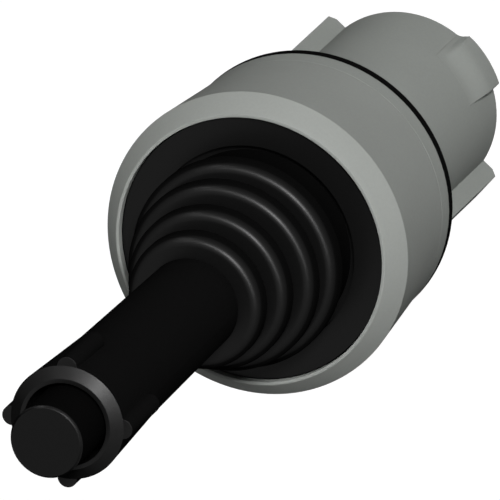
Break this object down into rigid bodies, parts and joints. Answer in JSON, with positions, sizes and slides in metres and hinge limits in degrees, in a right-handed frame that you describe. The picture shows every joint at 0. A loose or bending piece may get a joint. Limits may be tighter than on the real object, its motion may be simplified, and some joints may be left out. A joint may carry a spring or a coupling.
{
  "type": "panel joystick head",
  "caption": "Panel-mounted industrial joystick with a bellows boot, a spring-centred two-axis lever and a lift sleeve that unlocks it.",
  "frame": {"origin": "on the lever's axis, in the plane of the panel's front face, where the seal rests", "axes": "+Z out of the panel towards the lever's tip, +X and +Y along the two tilting axes and the contact plungers"},
  "size_m": [0.0298, 0.0298, 0.1019],
  "materials": {
    "housing_grey": "moulded matte grey",
    "bezel_grey": "satin grey die casting",
    "seal_rubber": "grey seal rubber",
    "boot_rubber": "black bellows rubber",
    "lever_black": "black satin",
    "sleeve_black": "black moulded",
    "inner_plastic": "light grey bearing plastic",
    "plunger_plastic": "off-white moulded",
    "steel": "turned",
    "spring_steel": "spring wire",
    "brass": "turned"
  },
  "bodies": {
    "head": {"housing": "housing_grey", "bezel_ring": "bezel_grey", "panel_seal": "seal_rubber", "head_seal": "seal_rubber", "boot": "boot_rubber", "boot_retainer": "inner_plastic", "gate_plate": "steel", "gate_screws": "steel", "gimbal_pins": "steel", "guide_plate": "inner_plastic", "lock_cup": "steel", "rear_guide": "inner_plastic", "rear_circlip": "spring_steel", "centring_spring": "spring_steel", "plunger_spring_east": "spring_steel", "plunger_spring_north": "spring_steel", "plunger_spring_west": "spring_steel", "plunger_spring_south": "spring_steel"},
    "gimbal": {"gimbal_ring": "brass"},
    "lever": {"lever_tube": "steel", "lever_tip": "lever_black", "lever_pins": "steel", "swash_plate": "steel", "swash_clip": "spring_steel", "sleeve_spring": "spring_steel"},
    "sleeve": {"unlocking_sleeve": "sleeve_black", "sleeve_bushing": "inner_plastic", "cross_pin": "steel", "lock_rod": "steel"},
    "plunger_east": {"plunger_east": "plunger_plastic"},
    "plunger_north": {"plunger_north": "plunger_plastic"},
    "plunger_west": {"plunger_west": "plunger_plastic"},
    "plunger_south": {"plunger_south": "plunger_plastic"}
  },
  "joints": [
    {"name": "gimbal_tilt", "type": "hinge", "parent": "head", "child": "gimbal", "pos_m": [0, 0, 0.006], "axis": [1, 0, 0], "range_deg": [-12, 12], "stiffness_Nm_per_rad": 1.5, "deforming": ["boot", "centring_spring", "plunger_spring_north", "plunger_spring_south"]},
    {"name": "lever_tilt", "type": "hinge", "parent": "gimbal", "child": "lever", "pos_m": [0, 0, 0.006], "axis": [0, 1, 0], "range_deg": [-12, 12], "stiffness_Nm_per_rad": 1.5, "deforming": ["plunger_spring_east", "plunger_spring_west"]},
    {"name": "sleeve_lift", "type": "slide", "parent": "lever", "child": "sleeve", "axis": [0, 0, 1], "range_m": [0, 0.005], "stiffness_N_per_m": 200, "springref_m": -0.01, "deforming": ["sleeve_spring"]},
    {"name": "plunger_east_slide", "type": "slide", "parent": "head", "child": "plunger_east", "axis": [0, 0, 1], "range_m": [-0.0013, 0.0013]},
    {"name": "plunger_north_slide", "type": "slide", "parent": "head", "child": "plunger_north", "axis": [0, 0, 1], "range_m": [-0.0013, 0.0013]},
    {"name": "plunger_west_slide", "type": "slide", "parent": "head", "child": "plunger_west", "axis": [0, 0, 1], "range_m": [-0.0013, 0.0013]},
    {"name": "plunger_south_slide", "type": "slide", "parent": "head", "child": "plunger_south", "axis": [0, 0, 1], "range_m": [-0.0013, 0.0013]}
  ],
  "couplings": [
    {"joint": "plunger_east_slide", "follows": "lever_tilt", "m_per_rad": -0.0059},
    {"joint": "plunger_west_slide", "follows": "lever_tilt", "m_per_rad": 0.0059},
    {"joint": "plunger_north_slide", "follows": "gimbal_tilt", "m_per_rad": 0.0059},
    {"joint": "plunger_south_slide", "follows": "gimbal_tilt", "m_per_rad": -0.0059}
  ]
}
